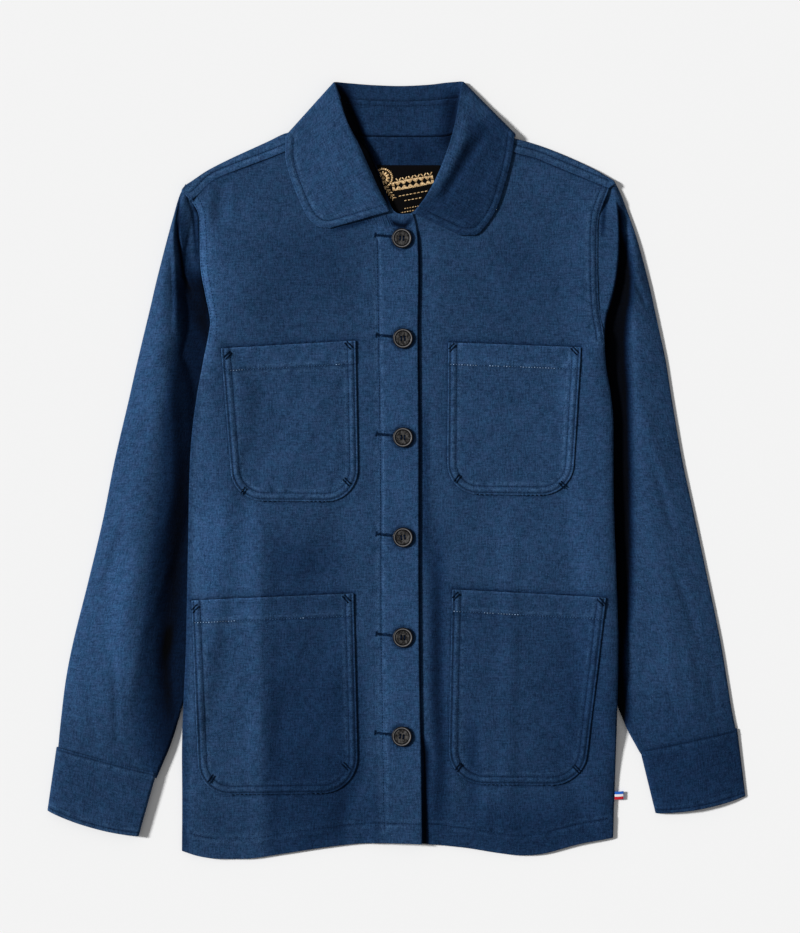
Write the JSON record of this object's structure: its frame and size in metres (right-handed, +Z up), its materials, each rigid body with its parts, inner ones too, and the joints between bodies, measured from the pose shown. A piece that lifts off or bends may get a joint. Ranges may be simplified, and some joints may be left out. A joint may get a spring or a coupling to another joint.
{
  "type": "chore jacket",
  "caption": "Flat-laid cotton chore jacket with a round-cornered collar, patch pockets, buttoned placket and band cuffs, sleeves at its sides.",
  "frame": {"origin": "on the surface that the jacket lies on, under the middle of its outline", "axes": "+X towards the wearer's left side, +Y from the hem towards the collar, +Z up from the surface, out of the jacket's front"},
  "size_m": [0.6804, 0.7587, 0.0204],
  "materials": {
    "navy_twill": "matte worn cotton twill",
    "label_cloth": "woven satin label",
    "tab_cloth": "woven tape",
    "horn": "semi-gloss, mottled"
  },
  "bodies": {
    "root": {"back": "navy_twill", "front_right": "navy_twill", "front_left": "navy_twill", "sleeve_right": "navy_twill", "sleeve_left": "navy_twill", "cuff_right": "navy_twill", "cuff_left": "navy_twill", "collar_stand": "navy_twill", "collar_fall": "navy_twill", "pocket_chest_right": "navy_twill", "pocket_chest_left": "navy_twill", "pocket_hip_right": "navy_twill", "pocket_hip_left": "navy_twill", "neck_label": "label_cloth", "side_flag_tab": "tab_cloth", "button_1": "horn", "button_2": "horn", "button_3": "horn", "button_4": "horn", "button_5": "horn", "button_6": "horn"}
  },
  "joints": []
}
